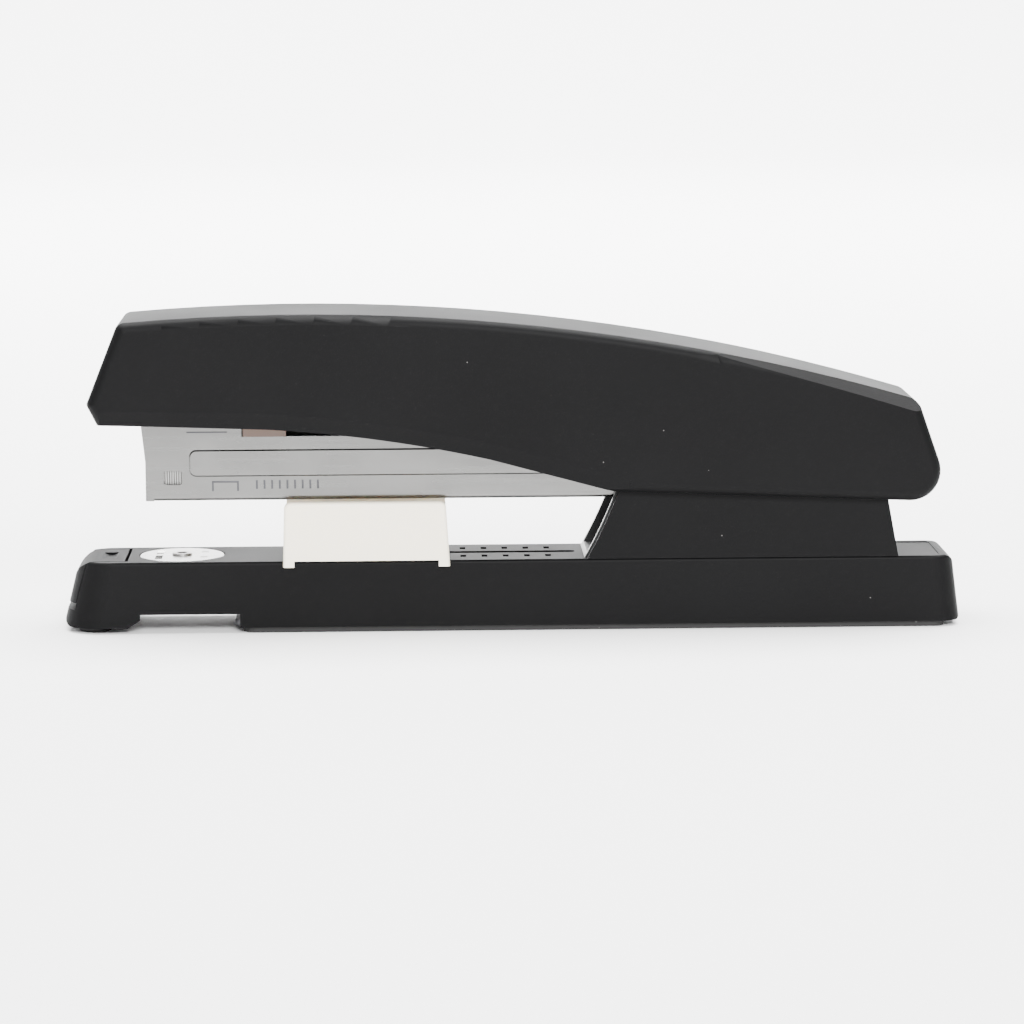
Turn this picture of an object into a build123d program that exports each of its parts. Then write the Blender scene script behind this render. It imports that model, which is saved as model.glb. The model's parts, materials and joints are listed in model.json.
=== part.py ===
"""Desk stapler with a 100 mm throat and an adjustable paper stop.

Frame: millimetres, +Z up, X along the stapler with the nose at -X, Y across.
The origin is the centre of the rubber pad's underside.
"""

import os
from math import radians, sin, tan

from build123d import *

os.makedirs("parts", exist_ok=True)

# ---------------------------------------------------------------- driving dimensions
# Base housing
BASE_FRONT = -100.7
BASE_REAR = 100.4
BASE_BOTTOM = 1.3
BASE_TOP = 15.9
BASE_HALF_BOTTOM = 12.5
BASE_HALF_TOP = 11.35
FRONT_LEAN = 13.8
REAR_LEAN = 6.9
BASE_WALL = 2.0
BASE_INSIDE_TOP = BASE_TOP - BASE_WALL

# Finger notch under the anvil
NOTCH_FRONT = -83.3
NOTCH_REAR = -61.0
NOTCH_TOP = 4.3

# Anvil
SEAT_BOSS_BOTTOM = 12.2
ANVIL_X = -74.3
ANVIL_R = 9.55
ANVIL_THICK = 1.4
STEM_R = 1.6
RUNNING = 0.06

# Magazine, a steel channel
MAG_HALF = 7.5
MAG_SHEET = 0.8
MAG_BOTTOM = 29.2
MAG_SIDE_TOP = 43.5
MAG_NOSE_TOP = 47.0
MAG_FRONT = -81.8
MAG_REAR = 86.0
MAG_INNER = MAG_HALF - MAG_SHEET

# Staples: 24/6, crown 12.9 mm, legs 6 mm
CROWN_HALF = 6.45
WIRE = 0.6
LEG = 6.0
RAIL_HALF = 5.6
RAIL_TOP = MAG_BOTTOM + MAG_SHEET + 6.4
EXIT_REAR = -79.9

# Main pivot
PIVOT_X = 77.5
PIVOT_Z = 36.0
PIN_R = 2.0
PIN_HALF = 12.9

# Handle
HANDLE_HALF = 14.8
HANDLE_INNER = 12.9
HANDLE_ARC_R = 476.0
HANDLE_ARC_X = -47.0
HANDLE_TOP = 71.3
HANDLE_ROOF = 2.2

# Adjustable paper stop
STOP_FRONT = -51.3
STOP_REAR = -14.1
STOP_TOP = 29.2
STOP_HALF = 12.45
STOP_CHEEK = 2.2
STOP_WEB_TOP = 17.3
HOLE_PITCH = 4.7625
HOLE_LAST_X = 8.0
HOLE_Y = 5.4
SLOT_WIDTH = 2.6
SLOT_FRONT = -40.0
SLOT_REAR = 14.3

MIRRORED = (-1, 1)


def save(part, name):
    """Label one finished piece and write it as its own STEP file."""
    part.label = name
    export_step(part, f"parts/{name}.step")


def handle_top_z(x, drop=0.0):
    """Height of the handle's arched top line at x, lowered by drop."""
    radius = HANDLE_ARC_R - drop
    centre_z = HANDLE_TOP - HANDLE_ARC_R
    return centre_z + (radius**2 - (x - HANDLE_ARC_X) ** 2) ** 0.5


# ---------------------------------------------------------------- base housing
def base_plan(height, inset, front_radius, rear_radius):
    """Plan outline of the base at one height, inset from the outer walls."""
    rise = height - BASE_BOTTOM
    share = rise / (BASE_TOP - BASE_BOTTOM)
    half = BASE_HALF_BOTTOM + (BASE_HALF_TOP - BASE_HALF_BOTTOM) * share - inset
    front = BASE_FRONT + rise * tan(radians(FRONT_LEAN)) + inset
    rear = BASE_REAR - rise * tan(radians(REAR_LEAN)) - inset
    with BuildSketch(Plane.XY.offset(height)) as plan:
        with Locations(((front + rear) / 2, 0)):
            Rectangle(rear - front, 2 * half)
        fillet(plan.vertices().sort_by(Axis.X)[:2], front_radius)
        fillet(plan.vertices().sort_by(Axis.X)[-2:], rear_radius)
    return plan.sketch


BUTTON_REAR = -86.0
SLAB_SLACK = 0.02
BUTTON_HALF = 9.0
BUTTON_GAP = 0.4
BUTTON_BOTTOM = 5.0
BOSS_X = (-54.0, 91.0)
BOSS_Y = 7.2
BOSS_R = 2.6
SCREW_R = 1.2
BRACKET_RIVET_X = (34.0, 66.0)
BRACKET_RIVET_Y = 5.0
BRACKET_RIVET_R = 1.5

lower_plan = base_plan(BASE_BOTTOM, 0, 8.6, 4.8)
upper_plan = base_plan(BASE_TOP, 0, 7.8, 4.3)
lower_cavity = base_plan(BASE_BOTTOM, BASE_WALL, 6.6, 2.8)
upper_cavity = base_plan(BASE_INSIDE_TOP, BASE_WALL, 5.8, 2.4)


def base_side(nose_radius):
    """Slab with the side outline of the base, its upper and lower corners rounded."""
    rise = BASE_TOP - BASE_BOTTOM
    front = BASE_FRONT - SLAB_SLACK
    rear = BASE_REAR + SLAB_SLACK
    with BuildSketch(Plane.XZ) as side:
        with BuildLine():
            Polyline((front, BASE_BOTTOM - SLAB_SLACK), (rear, BASE_BOTTOM - SLAB_SLACK),
                     (rear - rise * tan(radians(REAR_LEAN)), BASE_TOP + SLAB_SLACK),
                     (front + rise * tan(radians(FRONT_LEAN)), BASE_TOP + SLAB_SLACK), close=True)
        make_face()
        fillet(side.vertices().sort_by_distance((BASE_FRONT + 3.5, BASE_TOP))[0], nose_radius)
        fillet(side.vertices().sort_by_distance((BASE_REAR - 2, BASE_TOP))[0], 2.6)
        fillet(side.vertices().sort_by_distance((BASE_FRONT, BASE_BOTTOM))[0], 1.5)
        fillet(side.vertices().sort_by_distance((BASE_REAR, BASE_BOTTOM))[0], 1.0)
    with BuildPart() as slab:
        extrude(side.sketch, amount=20, both=True)
    return slab.part


shell_side = base_side(3.4)
button_side = base_side(5.2)

with BuildPart() as base_shell:
    add(lower_plan)
    add(upper_plan)
    loft(ruled=True)
    add(shell_side, mode=Mode.INTERSECT)
    side_rims = base_shell.edges().filter_by(
        lambda e: e.center().Z > 8 and abs(e.center().Y) > 9 and e.length > 60)
    fillet(side_rims, 0.7)
    add(lower_cavity)
    add(upper_cavity)
    loft(ruled=True, mode=Mode.SUBTRACT)
    # finger notch, right through both side walls
    with BuildSketch(Plane.XZ):
        with BuildLine():
            Polyline((NOTCH_FRONT - 2.6, 0), (NOTCH_FRONT - 2.6, 1.5), (NOTCH_FRONT, 3.0),
                     (NOTCH_FRONT, NOTCH_TOP), (NOTCH_REAR, NOTCH_TOP), (NOTCH_REAR, 0), close=True)
        make_face()
    extrude(amount=20, both=True, mode=Mode.SUBTRACT)
    # opening for the front button, over the top and down the front face
    with BuildSketch(Plane.XY.offset(BUTTON_BOTTOM)):
        with Locations(((BUTTON_REAR - 110) / 2, 0)):
            Rectangle(BUTTON_REAR + 110, 2 * BUTTON_HALF)
    extrude(amount=20, mode=Mode.SUBTRACT)
    # screw bosses for the floor plate
    with BuildSketch(Plane.XY.offset(2.6)):
        for x in BOSS_X:
            with Locations((x, -BOSS_Y), (x, BOSS_Y)):
                Circle(BOSS_R)
    extrude(until=Until.NEXT)
    with BuildSketch(Plane.XY.offset(2.6)):
        for x in BOSS_X:
            with Locations((x, -BOSS_Y), (x, BOSS_Y)):
                Circle(SCREW_R)
    extrude(amount=9, mode=Mode.SUBTRACT)
    # thickened floor, shallow round seat and stem hole for the anvil
    with BuildSketch(Plane.XY.offset(SEAT_BOSS_BOTTOM)):
        with Locations((ANVIL_X, 0)):
            Circle(7.0)
    extrude(until=Until.NEXT)
    with BuildSketch(Plane.XY.offset(BASE_TOP)):
        with Locations((ANVIL_X, 0)):
            Circle(ANVIL_R + 0.15)
    extrude(amount=-ANVIL_THICK - 0.05, mode=Mode.SUBTRACT)
    with Locations((ANVIL_X, 0, BASE_TOP)):
        Hole(STEM_R + RUNNING)
    # guide slot and two rows of detent holes for the paper stop
    with BuildSketch(Plane.XY.offset(BASE_TOP)):
        with Locations(((SLOT_FRONT + SLOT_REAR) / 2, 0)):
            SlotOverall(SLOT_REAR - SLOT_FRONT, SLOT_WIDTH)
        for step in range(8):
            x = HOLE_LAST_X - step * HOLE_PITCH
            with Locations((x, -HOLE_Y), (x, HOLE_Y)):
                Rectangle(1.3, 2.8)
    extrude(amount=-BASE_WALL - 1, mode=Mode.SUBTRACT)
    # rivet holes under the hinge bracket
    with BuildSketch(Plane.XY.offset(BASE_TOP)):
        for x in BRACKET_RIVET_X:
            with Locations((x, -BRACKET_RIVET_Y), (x, BRACKET_RIVET_Y)):
                Circle(BRACKET_RIVET_R)
    extrude(amount=-BASE_WALL - 1, mode=Mode.SUBTRACT)
    # shallow panel sunk into the top behind the pedestal
    with BuildSketch(Plane.XY.offset(BASE_TOP)):
        with Locations((91.0, 0)):
            RectangleRounded(9.4, 18.4, 1.2)
    extrude(amount=-0.15, mode=Mode.SUBTRACT)
save(base_shell.part, "base_shell")

# ---------------------------------------------------------------- nose of the base
PAD_THICK = 1.3
FLOOR_SHEET = 1.2
NOSE_FLOOR_Z = 1.4
FOOT_X = -93.6
FOOT_Y = 6.0
FOOT_R = 3.7
BUTTON_SPRING_X = -91.2
BUTTON_THICK = 1.8

with BuildPart() as nose_plate:
    with BuildSketch(Plane.XY.offset(NOSE_FLOOR_Z)):
        with Locations((-91.6, 0)):
            RectangleRounded(10.6, 19.6, 3.0)
    extrude(amount=FLOOR_SHEET)
    with BuildSketch(Plane.XY.offset(NOSE_FLOOR_Z + FLOOR_SHEET)):
        with Locations((BUTTON_SPRING_X, 0)):
            Circle(1.5)
    extrude(amount=3)
save(nose_plate.part, "nose_plate")

with BuildPart() as front_feet:
    with BuildSketch(Plane.XY):
        with Locations((FOOT_X, -FOOT_Y), (FOOT_X, FOOT_Y)):
            Circle(FOOT_R)
    extrude(amount=NOSE_FLOOR_Z)
    fillet(front_feet.edges().group_by(Axis.Z)[0], 0.5)
save(front_feet.part, "front_feet")

button_low = BASE_TOP - 9.4
button_inside_low = base_plan(BASE_BOTTOM, BUTTON_THICK, 5.2, 2.0)
button_inside_high = base_plan(BASE_TOP - BUTTON_THICK, BUTTON_THICK, 4.4, 1.6)

with BuildPart() as front_button:
    add(lower_plan)
    add(upper_plan)
    loft(ruled=True)
    add(button_side, mode=Mode.INTERSECT)
    with BuildSketch(Plane.XY.offset(button_low)):
        with Locations(((BUTTON_REAR - 110) / 2 - 0.7, 0)):
            Rectangle(BUTTON_REAR + 110, 2 * (BUTTON_HALF - BUTTON_GAP))
    extrude(amount=20, mode=Mode.INTERSECT)
    add(button_inside_low)
    add(button_inside_high)
    loft(ruled=True, mode=Mode.SUBTRACT)
    # spring post under the roof
    with BuildSketch(Plane.XY.offset(BASE_TOP - BUTTON_THICK)):
        with Locations((BUTTON_SPRING_X, 0)):
            Circle(1.5)
    extrude(amount=-3)
    # finger dimple
    with BuildSketch(Plane.XZ):
        with Locations((-90.4, BASE_TOP + 2.4)):
            Circle(2.9)
    extrude(amount=4.0, both=True, mode=Mode.SUBTRACT)
save(front_button.part, "front_button")

with BuildPart() as button_spring:
    with BuildSketch(Plane.XY.offset(NOSE_FLOOR_Z + FLOOR_SHEET)):
        with Locations((BUTTON_SPRING_X, 0)):
            Circle(2.6)
            Circle(1.9, mode=Mode.SUBTRACT)
    extrude(amount=BASE_TOP - BUTTON_THICK - NOSE_FLOOR_Z - FLOOR_SHEET)
save(button_spring.part, "button_spring")

# ---------------------------------------------------------------- underside of the base
FLOOR_FRONT = -62.2
FLOOR_REAR = 94.6
FLOOR_HALF = 9.9

with BuildPart() as base_floor_plate:
    with BuildSketch(Plane.XY.offset(PAD_THICK)):
        with Locations(((FLOOR_FRONT + FLOOR_REAR) / 2, 0)):
            RectangleRounded(FLOOR_REAR - FLOOR_FRONT, 2 * FLOOR_HALF, 1.2)
        for x in BOSS_X:
            with Locations((x, -BOSS_Y), (x, BOSS_Y)):
                Circle(SCREW_R, mode=Mode.SUBTRACT)
    extrude(amount=FLOOR_SHEET)
save(base_floor_plate.part, "base_floor_plate")

with BuildPart() as floor_screws:
    with BuildSketch(Plane.XY.offset(PAD_THICK)):
        for x in BOSS_X:
            with Locations((x, -BOSS_Y), (x, BOSS_Y)):
                Circle(SCREW_R)
    extrude(amount=9)
save(floor_screws.part, "floor_screws")

PAD_FRONT = -60.4
PAD_REAR = 96.8
with BuildPart() as base_pad:
    with BuildSketch(Plane.XY):
        with Locations(((PAD_FRONT + PAD_REAR) / 2, 0)):
            RectangleRounded(PAD_REAR - PAD_FRONT, 2 * 11.7, 2.6)
    extrude(amount=PAD_THICK)
save(base_pad.part, "base_pad")

# ---------------------------------------------------------------- anvil
POCKET_X = -5.05
POCKET_R = 4.6
POCKET_Y = 3.6
POCKET_DEEP = 0.8
KNOB_TOP = 9.2
KNOB_BOTTOM = 5.6

with BuildPart() as anvil_plate:
    with BuildSketch(Plane.XY.offset(BASE_TOP)):
        with Locations((ANVIL_X, 0)):
            Circle(ANVIL_R)
            Circle(STEM_R, mode=Mode.SUBTRACT)
    extrude(amount=-ANVIL_THICK)
    chamfer(anvil_plate.edges().group_by(Axis.Z)[-1].sort_by(SortBy.LENGTH)[-1], 0.25)
    # clinching pockets ahead of the stem, and shallower pinning pockets behind it
    for x, deep in ((POCKET_X, POCKET_DEEP), (-POCKET_X, POCKET_DEEP * 0.25)):
        centre_z = BASE_TOP - deep + POCKET_R
        with BuildSketch(Plane.YZ.offset(ANVIL_X + x)):
            for side in MIRRORED:
                with Locations((side * POCKET_Y, centre_z)):
                    Circle(POCKET_R)
        extrude(amount=0.8, both=True, mode=Mode.SUBTRACT)
save(anvil_plate.part, "anvil_plate")

with BuildPart() as anvil_stem:
    with BuildSketch(Plane.XY.offset(BASE_TOP + 0.5)):
        with Locations((ANVIL_X, 0)):
            Circle(2.25)
    extrude(amount=-0.5)
    fillet(anvil_stem.edges().group_by(Axis.Z)[-1], 0.3)
    with BuildSketch(Plane.XY.offset(BASE_TOP)):
        with Locations((ANVIL_X, 0)):
            Circle(STEM_R)
    extrude(amount=-(BASE_TOP - KNOB_BOTTOM))
    with BuildSketch(Plane.XY.offset(BASE_TOP + 0.5)):
        with Locations((ANVIL_X, 0)):
            Circle(1.15)
    extrude(amount=-2.5, mode=Mode.SUBTRACT)
save(anvil_stem.part, "anvil_stem")

with BuildPart() as anvil_knob:
    with BuildSketch(Plane.XY.offset(KNOB_BOTTOM)):
        with Locations((ANVIL_X, 0)):
            Circle(4.6)
            Circle(STEM_R, mode=Mode.SUBTRACT)
    extrude(amount=KNOB_TOP - KNOB_BOTTOM)
    # finger flats around the rim
    with BuildSketch(Plane.XY.offset(KNOB_BOTTOM)):
        with Locations((ANVIL_X, 0)):
            with PolarLocations(5.0, 8):
                Circle(0.9)
    extrude(amount=KNOB_TOP - KNOB_BOTTOM, mode=Mode.SUBTRACT)
save(anvil_knob.part, "anvil_knob")

with BuildPart() as anvil_washer:
    with BuildSketch(Plane.XY.offset(SEAT_BOSS_BOTTOM - 0.1)):
        with Locations((ANVIL_X, 0)):
            Circle(4.2)
            Circle(STEM_R + RUNNING, mode=Mode.SUBTRACT)
    extrude(amount=-0.6)
save(anvil_washer.part, "anvil_washer")

with BuildPart() as anvil_spring:
    with BuildSketch(Plane.XY.offset(KNOB_TOP)):
        with Locations((ANVIL_X, 0)):
            Circle(3.2)
            Circle(2.5, mode=Mode.SUBTRACT)
    extrude(amount=SEAT_BOSS_BOTTOM - 0.7 - KNOB_TOP)
save(anvil_spring.part, "anvil_spring")

# ---------------------------------------------------------------- pedestal and pivot
PED_HALF = 11.3
PED_WALL = 2.1
BRACKET_HALF = 9.1
BRACKET_SHEET = 1.1
PED_FRONT = 16.5
PED_FRONT_MID = (20.3, 23.3)
PED_FRONT_TOP = (23.6, 31.2)
PED_EAR_R = 5.6


def pedestal_side(shift, low, rear):
    """Side outline shared by the cover and the steel bracket inside it."""
    with BuildSketch(Plane.XZ) as side:
        with BuildLine():
            ThreePointArc((PED_FRONT - shift, low), (PED_FRONT_MID[0] - shift, PED_FRONT_MID[1]),
                          (PED_FRONT_TOP[0] - shift, PED_FRONT_TOP[1]))
            Polyline((PED_FRONT_TOP[0] - shift, PED_FRONT_TOP[1]),
                     (PED_FRONT_TOP[0] + 2.5, PED_FRONT_TOP[1] + 2.0),
                     (PIVOT_X - 4.0, PIVOT_Z + PED_EAR_R - 1.0))
            ThreePointArc((PIVOT_X - 4.0, PIVOT_Z + PED_EAR_R - 1.0),
                          (PIVOT_X, PIVOT_Z + PED_EAR_R), (PIVOT_X + 4.6, PIVOT_Z + 2.0))
            Polyline((PIVOT_X + 4.6, PIVOT_Z + 2.0), (rear, low),
                     (PED_FRONT - shift, low))
        make_face()
    return side.sketch


cover_side = pedestal_side(0, BASE_TOP, 86.2)
bracket_side = pedestal_side(0.5, BASE_TOP, 83.0)

with BuildPart() as pedestal_cover:
    extrude(cover_side, amount=PED_HALF, both=True)
    with BuildSketch(Plane.XZ):
        with Locations((50, 45)):
            Rectangle(66.5 + 100, 58.2)
    extrude(amount=PED_HALF - PED_WALL, both=True, mode=Mode.SUBTRACT)
    # rear cross wall
    with BuildSketch(Plane.XY.offset(BASE_TOP)):
        with Locations((84.0, 0)):
            Rectangle(1.6, 2 * PED_HALF - 1)
    extrude(amount=8)
    with BuildSketch(Plane.XZ):
        with Locations((PIVOT_X, PIVOT_Z)):
            Circle(PIN_R)
    extrude(amount=20, both=True, mode=Mode.SUBTRACT)
save(pedestal_cover.part, "pedestal_cover")

with BuildPart() as hinge_bracket:
    extrude(bracket_side, amount=BRACKET_HALF, both=True)
    with BuildSketch(Plane.XZ):
        with Locations((50, 47)):
            Rectangle(170, 2 * (47 - BASE_TOP - BRACKET_SHEET))
    extrude(amount=BRACKET_HALF - BRACKET_SHEET, both=True, mode=Mode.SUBTRACT)
    with BuildSketch(Plane.XZ):
        with Locations((PIVOT_X, PIVOT_Z)):
            Circle(PIN_R)
    extrude(amount=20, both=True, mode=Mode.SUBTRACT)
    with BuildSketch(Plane.XY.offset(BASE_TOP)):
        for x in BRACKET_RIVET_X:
            with Locations((x, -BRACKET_RIVET_Y), (x, BRACKET_RIVET_Y)):
                Circle(BRACKET_RIVET_R)
    extrude(amount=BRACKET_SHEET, mode=Mode.SUBTRACT)
save(hinge_bracket.part, "hinge_bracket")

bracket_floor = BASE_TOP + BRACKET_SHEET
with BuildPart() as bracket_rivets:
    for x in BRACKET_RIVET_X:
        for side in MIRRORED:
            with Locations((x, side * BRACKET_RIVET_Y, 0)):
                with Locations((0, 0, (BASE_INSIDE_TOP + bracket_floor) / 2)):
                    Cylinder(BRACKET_RIVET_R, bracket_floor - BASE_INSIDE_TOP)
                with Locations((0, 0, bracket_floor + 0.4), (0, 0, BASE_INSIDE_TOP - 0.4)):
                    Cylinder(2.4, 0.8)
save(bracket_rivets.part, "bracket_rivets")

with BuildPart() as hinge_pin:
    with BuildSketch(Plane.XZ):
        with Locations((PIVOT_X, PIVOT_Z)):
            Circle(PIN_R)
    extrude(amount=PIN_HALF, both=True)
    chamfer(hinge_pin.edges().filter_by(GeomType.CIRCLE), 0.3)
save(hinge_pin.part, "hinge_pin")

LEAF_THICK = 0.6


def leaf(points, width, thick=LEAF_THICK):
    """A bent leaf spring: its side line given a thickness and a width."""
    with BuildPart() as strip:
        with BuildSketch(Plane.XZ):
            with BuildLine():
                FilletPolyline(*points, radius=2.0)
            trace(line_width=thick)
        extrude(amount=width / 2, both=True)
    return strip.part


LIFT_FOOT_Z = bracket_floor + LEAF_THICK / 2
lift_spring = leaf(
    [(61, LIFT_FOOT_Z), (50, LIFT_FOOT_Z), (31, MAG_BOTTOM - 0.9), (27.5, MAG_BOTTOM - 1.6)], 8)
save(lift_spring, "lift_spring")

with BuildPart() as lift_spring_rivet:
    with Locations((57, 0, bracket_floor + LEAF_THICK + 0.4)):
        Cylinder(2.2, 0.8)
save(lift_spring_rivet.part, "lift_spring_rivet")

# ---------------------------------------------------------------- adjustable paper stop
STOP_LIP_BOTTOM = 14.7
STOP_LEG = 2.5
STOP_RUN = 0.2
NECK_X = -21.0
NECK_LONG = 9.0

with BuildPart() as paper_stop:
    with BuildSketch(Plane.XZ) as cheek_side:
        with BuildLine():
            Polyline((STOP_FRONT, STOP_LIP_BOTTOM), (STOP_FRONT + 0.4, STOP_TOP),
                     (STOP_REAR - 0.9, STOP_TOP), (STOP_REAR, STOP_LIP_BOTTOM),
                     (STOP_REAR - STOP_LEG, STOP_LIP_BOTTOM), (STOP_REAR - STOP_LEG, BASE_TOP + STOP_RUN),
                     (STOP_FRONT + STOP_LEG, BASE_TOP + STOP_RUN), (STOP_FRONT + STOP_LEG, STOP_LIP_BOTTOM),
                     close=True)
        make_face()
        fillet(cheek_side.vertices().group_by(Axis.Y)[-1], 1.5)
    extrude(amount=STOP_HALF, both=True)
    with BuildSketch(Plane.YZ.offset(STOP_FRONT - 1)):
        with Locations((0, (STOP_WEB_TOP + 40) / 2)):
            Rectangle(2 * (STOP_HALF - STOP_CHEEK), 40 - STOP_WEB_TOP)
        with Locations((0, BASE_TOP + STOP_RUN - 5)):
            Rectangle(2 * (BASE_HALF_TOP + 0.35), 10)
    extrude(amount=60, mode=Mode.SUBTRACT)
    # round the cheeks' outer top edges
    rim = paper_stop.edges().filter_by(Axis.X).group_by(Axis.Z)[-1]
    fillet(rim.sort_by(Axis.Y)[0], 0.8)
    rim = paper_stop.edges().filter_by(Axis.X).group_by(Axis.Z)[-1]
    fillet(rim.sort_by(Axis.Y)[-1], 0.8)
    # neck through the guide slot
    with BuildSketch(Plane.XY.offset(BASE_TOP + STOP_RUN)):
        with Locations((NECK_X, 0)):
            Rectangle(NECK_LONG, SLOT_WIDTH - 0.4)
    extrude(amount=-(BASE_TOP + STOP_RUN - BASE_INSIDE_TOP + 0.3))
    # pocket for the detent spring
    with BuildSketch(Plane.XY.offset(BASE_TOP + STOP_RUN)):
        with Locations((NECK_X - 9.0, -HOLE_Y), (NECK_X - 9.0, HOLE_Y)):
            Rectangle(20, 3.4)
    extrude(amount=0.5, mode=Mode.SUBTRACT)
save(paper_stop.part, "paper_stop")

with BuildPart() as stop_guide:
    with BuildSketch(Plane.XY.offset(BASE_INSIDE_TOP - 0.3)):
        with Locations((NECK_X, 0)):
            RectangleRounded(18, 8, 1.5)
            for dx in (-2.6, 2.6):
                with Locations((dx, 0)):
                    Circle(0.9, mode=Mode.SUBTRACT)
    extrude(amount=-1.4)
save(stop_guide.part, "stop_guide")

with BuildPart() as stop_screws:
    for dx in (-2.6, 2.6):
        with Locations((NECK_X + dx, 0, BASE_INSIDE_TOP - 1.0)):
            Cylinder(0.9, 1.4)
        with Locations((NECK_X + dx, 0, BASE_INSIDE_TOP - 2.1)):
            Cylinder(1.6, 0.8)
save(stop_screws.part, "stop_screws")

with BuildPart() as stop_detents:
    with BuildSketch(Plane.XY.offset(BASE_TOP + STOP_RUN + 0.1)):
        with Locations((NECK_X - 9.0, -HOLE_Y), (NECK_X - 9.0, HOLE_Y)):
            Rectangle(19, 3.0)
    extrude(amount=0.4)
    for side in MIRRORED:
        with Locations((HOLE_LAST_X - 7 * HOLE_PITCH, side * HOLE_Y, BASE_TOP + STOP_RUN + 0.05)):
            Cylinder(0.45, 0.3)
save(stop_detents.part, "stop_detents")

# ---------------------------------------------------------------- magazine
RIB_FRONT = -72.0
RIB_REAR = 17.0
RIB_LOW = 34.65
RIB_HIGH = 40.65
RIB_PROUD = 0.45
STEP_X = -60.3
LIP_LEAN = 0.9
BUSH_R = 3.0
MAG_FLOOR = MAG_BOTTOM + MAG_SHEET
WINDOW_X = -75.7
WINDOW_Z = 34.35

channel_side = Polyline(
    (EXIT_REAR, MAG_BOTTOM), (MAG_REAR, MAG_BOTTOM), (MAG_REAR, MAG_SIDE_TOP - 2),
    (MAG_REAR - 2, MAG_SIDE_TOP), (STEP_X, MAG_SIDE_TOP), (STEP_X, MAG_NOSE_TOP),
    (EXIT_REAR, MAG_NOSE_TOP), close=True)

with BuildPart() as magazine_channel:
    with BuildSketch(Plane.XZ):
        with BuildLine():
            add(channel_side)
        make_face()
    extrude(amount=MAG_HALF, both=True)
    fillet(magazine_channel.edges().filter_by(Axis.X).group_by(Axis.Z)[0], 1.0)
    with BuildSketch(Plane.YZ.offset(EXIT_REAR - 1)):
        with Locations((0, MAG_FLOOR + 20)):
            Rectangle(2 * MAG_INNER, 40)
    extrude(amount=MAG_REAR - EXIT_REAR + 2, mode=Mode.SUBTRACT)
    # front cheeks that carry the side walls past the staple exit
    with BuildSketch(Plane.XZ.offset(-MAG_HALF)):
        with BuildLine():
            Polyline((MAG_FRONT + MAG_SHEET, MAG_BOTTOM), (EXIT_REAR, MAG_BOTTOM),
                     (EXIT_REAR, MAG_NOSE_TOP), (MAG_FRONT + MAG_SHEET - LIP_LEAN, MAG_NOSE_TOP),
                     (MAG_FRONT + MAG_SHEET, 38.5), close=True)
        make_face()
    extrude(amount=MAG_SHEET)
    with BuildSketch(Plane.XZ.offset(MAG_HALF)):
        with BuildLine():
            Polyline((MAG_FRONT + MAG_SHEET, MAG_BOTTOM), (EXIT_REAR, MAG_BOTTOM),
                     (EXIT_REAR, MAG_NOSE_TOP), (MAG_FRONT + MAG_SHEET - LIP_LEAN, MAG_NOSE_TOP),
                     (MAG_FRONT + MAG_SHEET, 38.5), close=True)
        make_face()
    extrude(amount=-MAG_SHEET)
    # long stiffening rib pressed outwards in each side wall
    for side in MIRRORED:
        with BuildSketch(Plane.XZ.offset(-side * (MAG_HALF + RIB_PROUD))):
            with Locations(((RIB_FRONT + RIB_REAR) / 2, (RIB_LOW + RIB_HIGH) / 2)):
                RectangleRounded(RIB_REAR - RIB_FRONT, RIB_HIGH - RIB_LOW, 1.6)
        extrude(amount=side * (RIB_PROUD + 0.1))
        with BuildSketch(Plane.XZ.offset(-side * MAG_INNER)):
            with Locations(((RIB_FRONT + RIB_REAR) / 2, (RIB_LOW + RIB_HIGH) / 2)):
                RectangleRounded(RIB_REAR - RIB_FRONT - 1.2, RIB_HIGH - RIB_LOW - 1.2, 1.1)
        extrude(amount=-side * RIB_PROUD, mode=Mode.SUBTRACT)
    rib_rims = magazine_channel.faces().filter_by(
        lambda f: abs(abs(f.center().Y) - MAG_HALF - RIB_PROUD) < 0.01)
    chamfer(rib_rims.edges(), 0.3)
    # windows and pivot holes through both side walls
    with BuildSketch(Plane.XZ):
        with Locations((WINDOW_X, WINDOW_Z)):
            RectangleRounded(4.2, 3.1, 0.7)
        with Locations((PIVOT_X, PIVOT_Z)):
            Circle(BUSH_R)
    extrude(amount=20, both=True, mode=Mode.SUBTRACT)
save(magazine_channel.part, "magazine_channel")

with BuildPart() as nose_strip:
    with BuildSketch(Plane.XZ):
        with BuildLine():
            Polyline((MAG_FRONT, MAG_BOTTOM), (MAG_FRONT + MAG_SHEET, MAG_BOTTOM),
                     (MAG_FRONT + MAG_SHEET, 38.5), (MAG_FRONT + MAG_SHEET - LIP_LEAN, MAG_NOSE_TOP),
                     (MAG_FRONT - LIP_LEAN, MAG_NOSE_TOP), (MAG_FRONT, 38.5), close=True)
        make_face()
    extrude(amount=MAG_HALF, both=True)
    fillet(nose_strip.edges().filter_by(Axis.Z).group_by(Axis.X)[0], 0.5)
save(nose_strip.part, "nose_strip")

RAIL_REAR = 66.0
with BuildPart() as staple_rail:
    with BuildSketch(Plane.YZ.offset(EXIT_REAR)) as rail_section:
        with Locations((0, (MAG_FLOOR + RAIL_TOP) / 2)):
            Rectangle(2 * RAIL_HALF, RAIL_TOP - MAG_FLOOR)
        fillet(rail_section.vertices().group_by(Axis.Y)[-1], 0.8)
        with Locations((0, (MAG_FLOOR + RAIL_TOP - MAG_SHEET) / 2)):
            Rectangle(2 * (RAIL_HALF - MAG_SHEET), RAIL_TOP - MAG_SHEET - MAG_FLOOR, mode=Mode.SUBTRACT)
    extrude(amount=RAIL_REAR - EXIT_REAR)
save(staple_rail.part, "staple_rail")

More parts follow.
